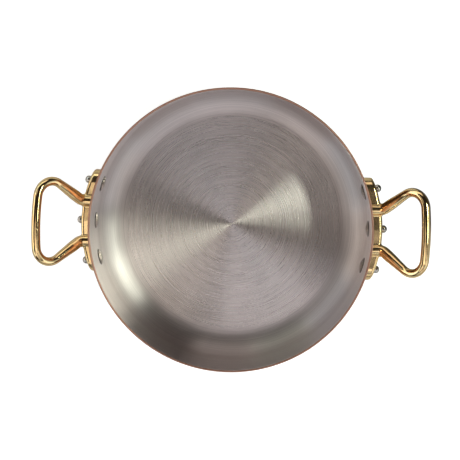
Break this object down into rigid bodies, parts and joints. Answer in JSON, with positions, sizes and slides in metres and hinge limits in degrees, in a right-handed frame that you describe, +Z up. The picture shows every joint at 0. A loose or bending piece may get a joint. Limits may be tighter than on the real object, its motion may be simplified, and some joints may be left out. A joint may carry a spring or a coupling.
{
  "type": "saute pan",
  "caption": "Round straight-walled copper saute pan with a thin brushed steel lining and riveted cast bronze loop handles on opposite sides, open, without a lid.",
  "frame": {"origin": "middle of the flat base, on the surface the pan stands on", "axes": "+Z up along the pan's axis, +X to the right-hand handle, whose middle stands 1 degree round towards +Y, and +Y to the far side"},
  "size_m": [0.34, 0.244, 0.0749],
  "materials": {
    "copper": "polished copper, its rim edge finely turned",
    "lining_steel": "stainless steel brushed in fine rings about the pan's axis",
    "bronze": "cast bronze, hand polished to a mirror with soft unevenness",
    "rivet_steel": "stainless steel, tumbled bright, closed heads lightly dented"
  },
  "bodies": {
    "root": {"copper_shell": "copper", "steel_lining": "lining_steel", "left_handle": "bronze", "right_handle": "bronze", "left_rivet_front": "rivet_steel", "left_rivet_middle": "rivet_steel", "left_rivet_rear": "rivet_steel", "right_rivet_front": "rivet_steel", "right_rivet_middle": "rivet_steel", "right_rivet_rear": "rivet_steel"}
  },
  "joints": []
}
